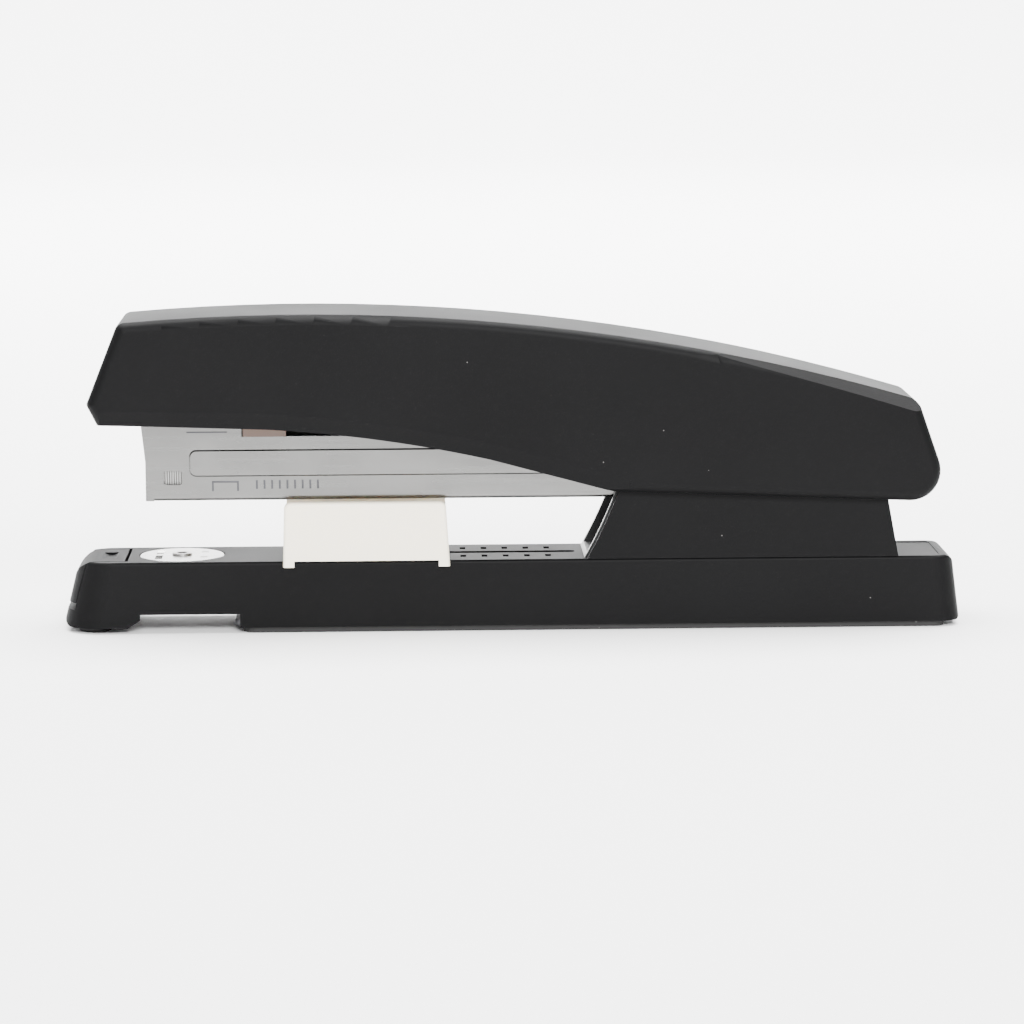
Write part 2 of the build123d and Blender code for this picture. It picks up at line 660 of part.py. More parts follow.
STAPLE_END = -27.8
with BuildPart() as staple_strip:
    with BuildSketch(Plane.YZ.offset(EXIT_REAR + 0.1)):
        with Locations((0, RAIL_TOP + 0.05 + (WIRE - LEG) / 2)):
            Rectangle(2 * CROWN_HALF, LEG + WIRE)
            with Locations((0, -WIRE / 2 - 0.05)):
                Rectangle(2 * (CROWN_HALF - WIRE), LEG + 0.1, mode=Mode.SUBTRACT)
    extrude(amount=STAPLE_END - EXIT_REAR - 0.1)
save(staple_strip.part, "staple_strip")

FOLLOWER_FRONT = -27.6
FOLLOWER_REAR = -15.6
ROD_Z = 40.4
ROD_R = 0.8
ROD_REAR = 62.0
with BuildPart() as staple_follower:
    with BuildSketch(Plane.YZ.offset(FOLLOWER_FRONT)) as follower_section:
        with Locations((0, 36.35)):
            Rectangle(12.8, 10.5)
        fillet(follower_section.vertices().group_by(Axis.Y)[-1], 2.6)
        with Locations((0, (RAIL_TOP + 0.3 + 20) / 2)):
            Rectangle(2 * RAIL_HALF + 0.6, RAIL_TOP + 0.3 - 20, mode=Mode.SUBTRACT)
        with Locations((0, ROD_Z)):
            Circle(ROD_R + RUNNING, mode=Mode.SUBTRACT)
    extrude(amount=FOLLOWER_REAR - FOLLOWER_FRONT)
save(staple_follower.part, "staple_follower")

with BuildPart() as follower_rod:
    with BuildSketch(Plane.YZ.offset(FOLLOWER_FRONT + 1)):
        with Locations((0, ROD_Z)):
            Circle(ROD_R)
    extrude(amount=ROD_REAR - FOLLOWER_FRONT - 1)
save(follower_rod.part, "follower_rod")

with BuildPart() as rod_anchor:
    with BuildSketch(Plane.YZ.offset(ROD_REAR - 2)):
        with Locations((0, 37.0)):
            Rectangle(2 * MAG_INNER - 0.1, 10.8)
        with Locations((0, ROD_Z)):
            Circle(ROD_R, mode=Mode.SUBTRACT)
        with Locations((0, (RAIL_TOP + 20) / 2)):
            Rectangle(2 * RAIL_HALF, RAIL_TOP - 20, mode=Mode.SUBTRACT)
    extrude(amount=2)
save(rod_anchor.part, "rod_anchor")

with BuildPart() as follower_spring:
    with BuildSketch(Plane.YZ.offset(FOLLOWER_REAR)):
        with Locations((0, ROD_Z)):
            Circle(2.0)
            Circle(1.5, mode=Mode.SUBTRACT)
    extrude(amount=ROD_REAR - 2 - FOLLOWER_REAR)
save(follower_spring.part, "follower_spring")

with BuildPart() as pivot_bushes:
    for side in MIRRORED:
        with BuildSketch(Plane.XZ.offset(-side * (MAG_HALF + 0.3))):
            with Locations((PIVOT_X, PIVOT_Z)):
                Circle(BUSH_R)
                Circle(PIN_R + RUNNING, mode=Mode.SUBTRACT)
        extrude(amount=side * 1.9)
        with BuildSketch(Plane.XZ.offset(-side * MAG_INNER)):
            with Locations((PIVOT_X, PIVOT_Z)):
                Circle(BUSH_R + 1.4)
                Circle(PIN_R + RUNNING, mode=Mode.SUBTRACT)
        extrude(amount=side * 0.8)
save(pivot_bushes.part, "pivot_bushes")

with BuildPart() as channel_pads:
    for side in MIRRORED:
        with Locations((-55.2, side * (MAG_HALF - 0.4), MAG_SIDE_TOP + 1.2)):
            Box(9.6, 0.8, 2.4)
save(channel_pads.part, "channel_pads")

BRIDGE_FRONT = 40.0
BRIDGE_REAR = 58.0
with BuildPart() as spring_bridge:
    with Locations(((BRIDGE_FRONT + BRIDGE_REAR) / 2, 0, MAG_SIDE_TOP + 0.4)):
        Box(BRIDGE_REAR - BRIDGE_FRONT, 2 * MAG_HALF, 0.8)
save(spring_bridge.part, "spring_bridge")

# ---------------------------------------------------------------- handle
SKIRT_CHAMFER_UP = 3.8
SKIRT_CHAMFER_IN = 0.9
FRAME_TOP = 50.0
FRAME_SHEET = 1.0
FRAME_HALF = 6.2
FRAME_FRONT = -80.1
FRAME_REAR = 38.0
FLANGE_BOTTOM = 47.4
FRAME_SCREW_X = (-60.0, 20.0)
RIVET_Z = 47.85
ROOF_FRONT = -86.0
ROOF_REAR = 87.4
EAR_INNER = 11.75
TOP_FRONT = -87.0
TOP_REAR = 90.2

with BuildSketch(Plane.XZ) as handle_side:
    with BuildLine():
        Polyline((TOP_FRONT, handle_top_z(TOP_FRONT)), (-94.2, 51.6), (-91.9, 47.1),
                 (-83.0, 46.9), (-54.0, 45.9))
        ThreePointArc((-54.0, 45.9), (-29.0, 43.3), (-5.0, 38.8))
        Polyline((-5.0, 38.8), (22.7, 31.3), (98.1, 28.3), (TOP_REAR, handle_top_z(TOP_REAR)))
        ThreePointArc((TOP_REAR, handle_top_z(TOP_REAR)), (0, handle_top_z(0)),
                      (TOP_FRONT, handle_top_z(TOP_FRONT)))
    make_face()
    fillet(handle_side.vertices().sort_by_distance((TOP_FRONT, 68.7))[0], 2.2)
    fillet(handle_side.vertices().sort_by_distance((TOP_REAR, 49))[0], 4.0)
    fillet(handle_side.vertices().sort_by_distance((98.1, 28.3))[0], 6.7)
    fillet(handle_side.vertices().sort_by_distance((-94.2, 51.6))[0], 1.0)

with BuildSketch(Plane.XZ) as handle_room:
    with BuildLine():
        ThreePointArc((ROOF_FRONT, handle_top_z(ROOF_FRONT, HANDLE_ROOF)),
                      (0, handle_top_z(0, HANDLE_ROOF)),
                      (ROOF_REAR, handle_top_z(ROOF_REAR, HANDLE_ROOF)))
        Polyline((ROOF_REAR, handle_top_z(ROOF_REAR, HANDLE_ROOF)), (92.4, 38.0), (101.0, 38.0),
                 (101.0, 15.0), (-90.5, 15.0), (-90.5, 52.5),
                 (ROOF_FRONT, handle_top_z(ROOF_FRONT, HANDLE_ROOF)))
    make_face()

RIDGE_FRONT = 10.0
RIDGE_REAR = 96.0
RIDGE_HALF = 10.4


def shoulder_section(x, side):
    """Region cut from one top shoulder at x; its depth grows towards the rear."""
    share = (x - RIDGE_FRONT) / (RIDGE_REAR - RIDGE_FRONT)
    drop = 3.6 * sin(share * radians(90)) - 0.45
    top = handle_top_z(x)
    crease = HANDLE_HALF - (HANDLE_HALF - RIDGE_HALF) * share
    with BuildSketch(Plane.YZ.offset(x)) as section:
        with BuildLine():
            Polyline((side * crease, top + 2), (side * crease, top + 0.3 * (1 - share)),
                     (side * (HANDLE_HALF + 1.0), top - drop),
                     (side * (HANDLE_HALF + 1.0), top + 2), close=True)
        make_face()
    return section.sketch


SHOULDER_STATIONS = [RIDGE_FRONT + i * (RIDGE_REAR - RIDGE_FRONT) / 6 for i in range(7)]
shoulder_cuts = {side: [shoulder_section(x, side) for x in SHOULDER_STATIONS] for side in MIRRORED}


SKIRT_NOSE_Z = 45.7


def skirt_low_z(x):
    """Height of the skirt's lower edge at x."""
    if x < -54.0:
        return SKIRT_NOSE_Z + (-54.0 - x) * 0.02
    if x < -5.0:
        share = (x + 54.0) / 49.0
        return SKIRT_NOSE_Z - 3.8 * share - 3.1 * share**2
    return 38.8 - (x + 5.0) * 7.5 / 27.7


def bevel_section(x, side):
    """Wedge cut from the skirt's outside, below the crease, at x."""
    low = skirt_low_z(x) - 1.0
    high = skirt_low_z(x) + SKIRT_CHAMFER_UP
    with BuildSketch(Plane.YZ.offset(x)) as section:
        with BuildLine():
            Polyline((side * HANDLE_HALF, high), (side * (HANDLE_HALF - SKIRT_CHAMFER_IN), low),
                     (side * (HANDLE_HALF + 2), low), (side * (HANDLE_HALF + 2), high), close=True)
        make_face()
    return section.sketch


BEVEL_STATIONS = [-96.0, -54.0, -45.0, -37.0, -29.0, -21.0, -13.0, -5.0, 26.0]
bevel_cuts = {side: [bevel_section(x, side) for x in BEVEL_STATIONS] for side in MIRRORED}

with BuildPart() as handle_shell:
    extrude(handle_side.sketch, amount=HANDLE_HALF, both=True)
    rims = handle_shell.edges().filter_by(lambda e: abs(abs(e.center().Y) - HANDLE_HALF) < 0.01)
    fillet(rims.filter_by(lambda e: e.center().Z > 50 or e.center().X > 30), 2.2)
    for side in MIRRORED:
        loft(bevel_cuts[side], ruled=True, mode=Mode.SUBTRACT)
        loft(shoulder_cuts[side], mode=Mode.SUBTRACT)
    extrude(handle_room.sketch, amount=HANDLE_INNER, both=True, mode=Mode.SUBTRACT)
    # ears inside the side walls that turn on the ends of the hinge pin
    for side in MIRRORED:
        with BuildSketch(Plane.XZ.offset(-side * EAR_INNER)):
            with Locations((PIVOT_X, PIVOT_Z)):
                Circle(4.4)
        extrude(amount=-side * (HANDLE_INNER - EAR_INNER + 0.3))
        with BuildSketch(Plane.XZ.offset(-side * EAR_INNER)):
            with Locations((PIVOT_X, PIVOT_Z)):
                Circle(PIN_R + RUNNING)
        extrude(amount=-side * (PIN_HALF - EAR_INNER + 0.2), mode=Mode.SUBTRACT)
    # bosses under the roof for the frame's screws
    with BuildSketch(Plane.XY.offset(FRAME_TOP)):
        for x in FRAME_SCREW_X:
            with Locations((x, 0)):
                Circle(3.4)
    extrude(until=Until.NEXT)
    with BuildSketch(Plane.XY.offset(FRAME_TOP)):
        for x in FRAME_SCREW_X:
            with Locations((x, 0)):
                Circle(SCREW_R)
    extrude(amount=9, mode=Mode.SUBTRACT)
save(handle_shell.part, "handle_shell")

with BuildPart() as handle_frame:
    with BuildSketch(Plane.YZ.offset(FRAME_FRONT + FRAME_SHEET)):
        with Locations((0, (FRAME_TOP + FLANGE_BOTTOM) / 2)):
            Rectangle(2 * FRAME_HALF, FRAME_TOP - FLANGE_BOTTOM)
        with Locations((0, (FRAME_TOP - FRAME_SHEET + FLANGE_BOTTOM) / 2)):
            Rectangle(2 * (FRAME_HALF - FRAME_SHEET), FRAME_TOP - FRAME_SHEET - FLANGE_BOTTOM,
                      mode=Mode.SUBTRACT)
    extrude(amount=FRAME_REAR - FRAME_FRONT - FRAME_SHEET)
    with Locations((FRAME_FRONT + FRAME_SHEET / 2, 0, (FRAME_TOP + 46.6) / 2)):
        Box(FRAME_SHEET, 2 * FRAME_HALF, FRAME_TOP - 46.6)
    with Locations(*[(x, 0, FRAME_TOP) for x in FRAME_SCREW_X]):
        Hole(SCREW_R)
    with BuildSketch(Plane.YZ.offset(FRAME_FRONT)):
        with Locations((-3, RIVET_Z), (3, RIVET_Z)):
            Circle(0.8)
    extrude(amount=FRAME_SHEET, mode=Mode.SUBTRACT)
save(handle_frame.part, "handle_frame")

BLADE_THICK = 0.5
BLADE_BOTTOM = 37.95
with BuildPart() as driver_blade:
    with BuildSketch(Plane.YZ.offset(FRAME_FRONT)):
        with Locations((0, (FRAME_TOP + BLADE_BOTTOM) / 2)):
            Rectangle(2 * CROWN_HALF, FRAME_TOP - BLADE_BOTTOM)
        with Locations((-3, RIVET_Z), (3, RIVET_Z)):
            Circle(0.8, mode=Mode.SUBTRACT)
    extrude(amount=-BLADE_THICK)
save(driver_blade.part, "driver_blade")

with BuildPart() as driver_rivets:
    with BuildSketch(Plane.YZ.offset(FRAME_FRONT - BLADE_THICK)):
        with Locations((-3, RIVET_Z), (3, RIVET_Z)):
            Circle(0.8)
    extrude(amount=BLADE_THICK + FRAME_SHEET)
    with BuildSketch(Plane.YZ.offset(FRAME_FRONT + FRAME_SHEET)):
        with Locations((-3, RIVET_Z), (3, RIVET_Z)):
            Circle(1.1)
    extrude(amount=0.6)
save(driver_rivets.part, "driver_rivets")

with BuildPart() as frame_screws:
    with BuildSketch(Plane.XY.offset(FRAME_TOP - FRAME_SHEET)):
        for x in FRAME_SCREW_X:
            with Locations((x, 0)):
                Circle(SCREW_R)
    extrude(amount=8)
    with BuildSketch(Plane.XY.offset(FRAME_TOP - FRAME_SHEET)):
        for x in FRAME_SCREW_X:
            with Locations((x, 0)):
                Circle(2.3)
    extrude(amount=-0.9)
save(frame_screws.part, "frame_screws")

BRIDGE_TOP = MAG_SIDE_TOP + 0.8
HANDLE_LEAF_Z = BRIDGE_TOP + LEAF_THICK / 2
handle_spring = leaf([(56, HANDLE_LEAF_Z), (42, HANDLE_LEAF_Z), (8, 48.0), (4, 47.4)], 7)
save(handle_spring, "handle_spring")

with BuildPart() as handle_spring_rivet:
    with Locations((50, 0, BRIDGE_TOP + LEAF_THICK + 0.4)):
        Cylinder(2.0, 0.8)
save(handle_spring_rivet.part, "handle_spring_rivet")
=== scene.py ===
"""Desk stapler with a paper stop: materials, springs, staples and a plain studio."""

import json
from math import cos, pi, radians, sin

import bpy
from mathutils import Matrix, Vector


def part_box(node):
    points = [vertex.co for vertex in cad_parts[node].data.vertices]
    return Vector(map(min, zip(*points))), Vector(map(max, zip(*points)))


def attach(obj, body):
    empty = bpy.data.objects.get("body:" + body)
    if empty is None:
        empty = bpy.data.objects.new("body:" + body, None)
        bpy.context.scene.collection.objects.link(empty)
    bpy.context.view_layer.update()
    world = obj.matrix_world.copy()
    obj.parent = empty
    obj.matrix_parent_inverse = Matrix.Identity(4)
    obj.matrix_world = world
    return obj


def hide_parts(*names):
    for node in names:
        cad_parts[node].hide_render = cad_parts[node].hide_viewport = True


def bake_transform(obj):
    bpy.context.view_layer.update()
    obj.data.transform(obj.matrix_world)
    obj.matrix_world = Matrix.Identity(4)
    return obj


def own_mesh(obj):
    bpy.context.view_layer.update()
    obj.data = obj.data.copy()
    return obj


bl_info = {
    "name": "Stapler Workshop",
    "version": (1, 0, 0),
    "blender": (4, 5, 0),
    "location": "View3D > Sidebar > Stapler",
    "description": "Dresses the stapler's frame with materials, springs, staples and a studio",
    "category": "Object",
}

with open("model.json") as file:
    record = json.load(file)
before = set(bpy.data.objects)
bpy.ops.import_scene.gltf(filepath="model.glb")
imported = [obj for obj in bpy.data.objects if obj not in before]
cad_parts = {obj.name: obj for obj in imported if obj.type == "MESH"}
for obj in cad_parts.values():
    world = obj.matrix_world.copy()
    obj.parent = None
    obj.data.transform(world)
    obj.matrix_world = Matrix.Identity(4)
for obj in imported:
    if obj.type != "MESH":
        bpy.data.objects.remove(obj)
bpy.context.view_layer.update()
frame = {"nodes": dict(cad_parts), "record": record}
MM = 0.001


# ------------------------------------------------------------------ settings
class StaplerColours(bpy.types.PropertyGroup):
    """Base colours of the stapler's finishes, in linear light."""

    shell: bpy.props.FloatVectorProperty(
        name="Shell", description="Black textured plastic of the handle and base",
        subtype="COLOR", size=3, default=(0.0035, 0.0035, 0.0037))
    cream: bpy.props.FloatVectorProperty(
        name="Paper stop", description="Cream plastic of the paper stop",
        subtype="COLOR", size=3, default=(0.98, 0.89, 0.72))
    nickel: bpy.props.FloatVectorProperty(
        name="Magazine", description="Nickel-plated sheet of the magazine",
        subtype="COLOR", size=3, default=(0.155, 0.154, 0.150))
    zinc: bpy.props.FloatVectorProperty(
        name="Fixings", description="Zinc-plated rivets, screws and plates",
        subtype="COLOR", size=3, default=(0.55, 0.55, 0.56))
    spring: bpy.props.FloatVectorProperty(
        name="Springs", description="Tempered spring steel",
        subtype="COLOR", size=3, default=(0.38, 0.37, 0.36))
    rubber: bpy.props.FloatVectorProperty(
        name="Rubber", description="Feet and pad",
        subtype="COLOR", size=3, default=(0.018, 0.018, 0.018))
    nylon: bpy.props.FloatVectorProperty(
        name="Nylon", description="Brown bearing pads and bushes",
        subtype="COLOR", size=3, default=(0.085, 0.052, 0.038))


class StaplerSizes(bpy.types.PropertyGroup):
    """Sizes of the pieces that are made here."""

    follower_wire: bpy.props.FloatProperty(
        name="Follower spring wire", description="Wire diameter",
        default=0.45 * MM, unit="LENGTH")
    follower_turns: bpy.props.IntProperty(
        name="Follower spring turns", description="Turns of the long spring", default=40)
    staple_pitch: bpy.props.FloatProperty(
        name="Staple pitch", description="Distance from one staple to the next",
        default=0.52 * MM, unit="LENGTH")
    staple_wire: bpy.props.FloatProperty(
        name="Staple wire", description="Thickness of a staple's square wire",
        default=0.5 * MM, unit="LENGTH")
    leaf_thickness: bpy.props.FloatProperty(
        name="Leaf thickness", description="Thickness of both leaf springs",
        default=0.6 * MM, unit="LENGTH")


# ------------------------------------------------------------------ shader helpers
def group_tree(name, inputs, outputs):
    """A new shader node group with named float, colour or vector sockets."""
    tree = bpy.data.node_groups.new(name, "ShaderNodeTree")
    for label, kind, value in inputs:
        socket = tree.interface.new_socket(name=label, in_out="INPUT", socket_type=kind)
        if value is not None:
            socket.default_value = value
    for label, kind in outputs:
        tree.interface.new_socket(name=label, in_out="OUTPUT", socket_type=kind)
    return tree, tree.nodes.new("NodeGroupInput"), tree.nodes.new("NodeGroupOutput")


def node(tree, kind, links=None, **settings):
    """Add a node, set its attributes, and link or set its inputs."""
    made = tree.nodes.new(kind)
    for key, value in settings.items():
        setattr(made, key, value)
    for key, value in (links or {}).items():
        socket = made.inputs[key]
        if isinstance(value, bpy.types.NodeSocket):
            tree.links.new(value, socket)
        else:
            socket.default_value = value
    return made


def maths(tree, operation, first, second=0.5, clamp=False):
    """A Math node's output."""
    made = node(tree, "ShaderNodeMath", {0: first, 1: second}, operation=operation)
    made.use_clamp = clamp
    return made.outputs[0]


def remap(tree, value, low, high, to_low=0.0, to_high=1.0):
    """A Map Range node's output."""
    links = {"Value": value, "From Min": low, "From Max": high, "To Min": to_low, "To Max": to_high}
    return node(tree, "ShaderNodeMapRange", links).outputs["Result"]


def make_moulded_grain():
    """Spark-eroded grain of moulded plastic: fine pits with softer waves under them."""
    tree, start, end = group_tree(
        "moulded_grain",
        [("Cell", "NodeSocketFloat", 2600.0), ("Softness", "NodeSocketFloat", 0.5)],
        [("Height", "NodeSocketFloat"), ("Tone", "NodeSocketFloat")])
    place = node(tree, "ShaderNodeTexCoord").outputs["Object"]
    pits = node(tree, "ShaderNodeTexVoronoi", {"Vector": place, "Scale": start.outputs["Cell"]})
    fine = node(tree, "ShaderNodeTexNoise",
                {"Vector": place, "Scale": start.outputs["Cell"], "Detail": 3.0, "Roughness": 0.6})
    broad = node(tree, "ShaderNodeTexNoise", {"Vector": place, "Scale": 28.0, "Detail": 4.0})
    height = node(tree, "ShaderNodeMix", {"Factor": start.outputs["Softness"],
                                          "A": pits.outputs["Distance"], "B": fine.outputs["Fac"]})
    tree.links.new(height.outputs["Result"], end.inputs["Height"])
    tree.links.new(broad.outputs["Fac"], end.inputs["Tone"])
    return tree


def make_edge_wear():
    """Mask of convex edges, broken up by noise."""
    tree, start, end = group_tree(
        "edge_wear",
        [("Width", "NodeSocketFloat", 0.0004), ("Breakup", "NodeSocketFloat", 260.0)],
        [("Mask", "NodeSocketFloat")])
    place = node(tree, "ShaderNodeTexCoord").outputs["Object"]
    bevel = node(tree, "ShaderNodeBevel", {"Radius": start.outputs["Width"]}, samples=4)
    flat = node(tree, "ShaderNodeNewGeometry").outputs["Normal"]
    facing = node(tree, "ShaderNodeVectorMath", {0: bevel.outputs["Normal"], 1: flat},
                  operation="DOT_PRODUCT").outputs["Value"]
    edge = remap(tree, facing, 0.995, 0.90)
    noise = node(tree, "ShaderNodeTexNoise",
                 {"Vector": place, "Scale": start.outputs["Breakup"], "Detail": 3.0})
    broken = remap(tree, noise.outputs["Fac"], 0.42, 0.62)
    tree.links.new(maths(tree, "MULTIPLY", edge, broken, clamp=True), end.inputs["Mask"])
    return tree


def make_dust():
    """Sparse pale specks of dust, scattered at random."""
    tree, start, end = group_tree(
        "dust",
        [("Scale", "NodeSocketFloat", 420.0), ("Size", "NodeSocketFloat", 0.07),
         ("Share", "NodeSocketFloat", 0.94)],
        [("Mask", "NodeSocketFloat")])
    place = node(tree, "ShaderNodeTexCoord").outputs["Object"]
    cells = node(tree, "ShaderNodeTexVoronoi", {"Vector": place, "Scale": start.outputs["Scale"]})
    speck = maths(tree, "LESS_THAN", cells.outputs["Distance"], start.outputs["Size"])
    chance = node(tree, "ShaderNodeSeparateColor", {"Color": cells.outputs["Color"]}).outputs[0]
    chosen = maths(tree, "GREATER_THAN", chance, start.outputs["Share"])
    tree.links.new(maths(tree, "MULTIPLY", speck, chosen), end.inputs["Mask"])
    return tree


def make_rolled_sheet():
    """Grain of rolled and plated sheet: faint lines along X and soft cloudy tarnish."""
    tree, start, end = group_tree(
        "rolled_sheet",
        [("Lines", "NodeSocketFloat", 900.0), ("Clouds", "NodeSocketFloat", 60.0)],
        [("Line", "NodeSocketFloat"), ("Cloud", "NodeSocketFloat"), ("Pimple", "NodeSocketFloat")])
    place = node(tree, "ShaderNodeTexCoord").outputs["Object"]
    stretch = node(tree, "ShaderNodeMapping", {"Vector": place, "Scale": (0.04, 1.0, 1.0)})
    lines = node(tree, "ShaderNodeTexNoise", {"Vector": stretch.outputs["Vector"],
                                              "Scale": start.outputs["Lines"], "Detail": 2.0})
    clouds = node(tree, "ShaderNodeTexNoise",
                  {"Vector": place, "Scale": start.outputs["Clouds"], "Detail": 5.0})
    pimple = node(tree, "ShaderNodeTexNoise", {"Vector": place, "Scale": 1500.0, "Detail": 2.0})
    tree.links.new(lines.outputs["Fac"], end.inputs["Line"])
    tree.links.new(clouds.outputs["Fac"], end.inputs["Cloud"])
    tree.links.new(pimple.outputs["Fac"], end.inputs["Pimple"])
    return tree


GROUPS = {}


def shared(name):
    """One of the shared effect groups, built the first time it is asked for."""
    makers = {"moulded_grain": make_moulded_grain, "edge_wear": make_edge_wear,
              "dust": make_dust, "rolled_sheet": make_rolled_sheet}
    if name not in GROUPS:
        GROUPS[name] = makers[name]()
    return GROUPS[name]


def effect(tree, name, **values):
    """Place a shared effect in a material with its own values."""
    made = tree.nodes.new("ShaderNodeGroup")
    made.node_tree = shared(name)
    for label, value in values.items():
        made.inputs[label].default_value = value
    return made.outputs


def new_material(name, **values):
    """A node material with a Principled BSDF whose uniform values are set on it."""
    material = bpy.data.materials.new(name)
    material.use_nodes = True
    tree = material.node_tree
    shader = tree.nodes["Principled BSDF"]
    for label, value in values.items():
        shader.inputs[label.replace("_", " ")].default_value = value
    return material, tree, shader


def blend_colour(tree, mask, first, second):
    """A Mix node's colour between two colours or sockets."""
    mixed = node(tree, "ShaderNodeMix", {"Factor": mask}, data_type="RGBA")
    for socket, value in ((mixed.inputs[6], first), (mixed.inputs[7], second)):
        if isinstance(value, bpy.types.NodeSocket):
            tree.links.new(value, socket)
        else:
            socket.default_value = (*value[:3], 1.0)
    return mixed.outputs[2]


def shade(colour, factor):
    """A colour made lighter or darker."""
    return tuple(min(channel * factor, 1.0) for channel in colour)


def put_bump(tree, shader, height, distance, strength=1.0):
    """Feed a height into the shader's normal."""
    bump = node(tree, "ShaderNodeBump", {"Height": height, "Distance": distance, "Strength": strength})
    tree.links.new(bump.outputs["Normal"], shader.inputs["Normal"])


# ------------------------------------------------------------------ materials
def black_shell(colours):
    """Textured ABS of the handle, base, pedestal and button."""
    material, tree, shader = new_material("black_shell", Specular_IOR_Level=0.06)
    grain = effect(tree, "moulded_grain", Cell=2300.0, Softness=0.45)
    wear = effect(tree, "edge_wear", Width=0.0005, Breakup=240.0)
    dust = effect(tree, "dust", Scale=300.0, Size=0.045, Share=0.965)
    tone = remap(tree, grain["Tone"], 0.3, 0.7)
    base = blend_colour(tree, tone, shade(colours.shell, 0.88), shade(colours.shell, 1.12))
    worn = blend_colour(tree, maths(tree, "MULTIPLY", wear["Mask"], 0.35), base, shade(colours.shell, 3.2))
    dusty = blend_colour(tree, maths(tree, "MULTIPLY", dust["Mask"], 0.3), worn, (0.30, 0.29, 0.28))
    tree.links.new(dusty, shader.inputs["Base Color"])
    rough = remap(tree, grain["Tone"], 0.3, 0.7, 0.46, 0.53)
    tree.links.new(maths(tree, "ADD", rough, maths(tree, "MULTIPLY", dust["Mask"], 0.3)),
                   shader.inputs["Roughness"])
    put_bump(tree, shader, grain["Height"], 0.00005, 0.35)
    return material


def black_inner(colours):
    """Plain moulded plastic of the inner black pieces."""
    material, tree, shader = new_material("black_inner", Specular_IOR_Level=0.2)
    grain = effect(tree, "moulded_grain", Cell=900.0, Softness=0.8)
    tone = remap(tree, grain["Tone"], 0.3, 0.7)
    base = blend_colour(tree, tone, shade(colours.shell, 1.0), shade(colours.shell, 1.4))
    tree.links.new(base, shader.inputs["Base Color"])
    tree.links.new(remap(tree, grain["Tone"], 0.3, 0.7, 0.30, 0.40), shader.inputs["Roughness"])
    put_bump(tree, shader, grain["Height"], 0.00002, 0.2)
    return material


def cream_plastic(colours):
    """Satin acetal of the paper stop, with a little light let through."""
    material, tree, shader = new_material(
        "cream_plastic", Subsurface_Weight=0.12, Subsurface_Scale=0.002,
        Subsurface_Radius=(1.0, 0.7, 0.4), IOR=1.48)
    grain = effect(tree, "moulded_grain", Cell=1500.0, Softness=0.9)
    wear = effect(tree, "edge_wear", Width=0.0004, Breakup=300.0)
    tone = remap(tree, grain["Tone"], 0.3, 0.7)
    base = blend_colour(tree, tone, shade(colours.cream, 0.985), shade(colours.cream, 1.01))
    worn = blend_colour(tree, maths(tree, "MULTIPLY", wear["Mask"], 0.15), base, (0.80, 0.74, 0.62))
    tree.links.new(worn, shader.inputs["Base Color"])
    tree.links.new(remap(tree, grain["Tone"], 0.3, 0.7, 0.34, 0.44), shader.inputs["Roughness"])
    put_bump(tree, shader, grain["Height"], 0.00002, 0.15)
    return material


def plated_sheet(name, colour, rough, lines, bump):
    """Plated or bare steel sheet; rough is its lowest and highest roughness."""
    material, tree, shader = new_material(name, Metallic=1.0)
    sheet = effect(tree, "rolled_sheet", Lines=lines, Clouds=70.0)
    wear = effect(tree, "edge_wear", Width=0.0002, Breakup=400.0)
    cloud = remap(tree, sheet["Cloud"], 0.35, 0.65)
    base = blend_colour(tree, cloud, shade(colour, 0.9), shade(colour, 1.06))
    bright = blend_colour(tree, maths(tree, "MULTIPLY", wear["Mask"], 0.5), base, shade(colour, 1.3))
    tree.links.new(bright, shader.inputs["Base Color"])
    spread = maths(tree, "MULTIPLY", maths(tree, "ADD", sheet["Line"], sheet["Cloud"]), 0.5)
    tree.links.new(remap(tree, spread, 0.35, 0.65, *rough), shader.inputs["Roughness"])
    height = maths(tree, "ADD", sheet["Line"], maths(tree, "MULTIPLY", sheet["Pimple"], 0.8))
    put_bump(tree, shader, height, 0.00002, bump)
    return material


def turned_nickel(colours):
    """Polished disc, stem, pin and rod."""
    return plated_sheet("bright_nickel", shade(colours.nickel, 3.0), (0.20, 0.30), 1400.0, 0.12)


def moulded_rubber(colours):
    """Rubber of the feet and the long pad."""
    material, tree, shader = new_material("black_rubber", Specular_IOR_Level=0.35)
    grain = effect(tree, "moulded_grain", Cell=1300.0, Softness=0.6)
    dust = effect(tree, "dust", Scale=520.0, Size=0.16, Share=0.9)
    tone = remap(tree, grain["Tone"], 0.3, 0.7)
    base = blend_colour(tree, tone, shade(colours.rubber, 0.8), shade(colours.rubber, 1.3))
    dusty = blend_colour(tree, maths(tree, "MULTIPLY", dust["Mask"], 0.25), base, (0.2, 0.2, 0.19))
    tree.links.new(dusty, shader.inputs["Base Color"])
    tree.links.new(remap(tree, grain["Tone"], 0.3, 0.7, 0.68, 0.82), shader.inputs["Roughness"])
    put_bump(tree, shader, grain["Height"], 0.00005, 0.4)
    return material


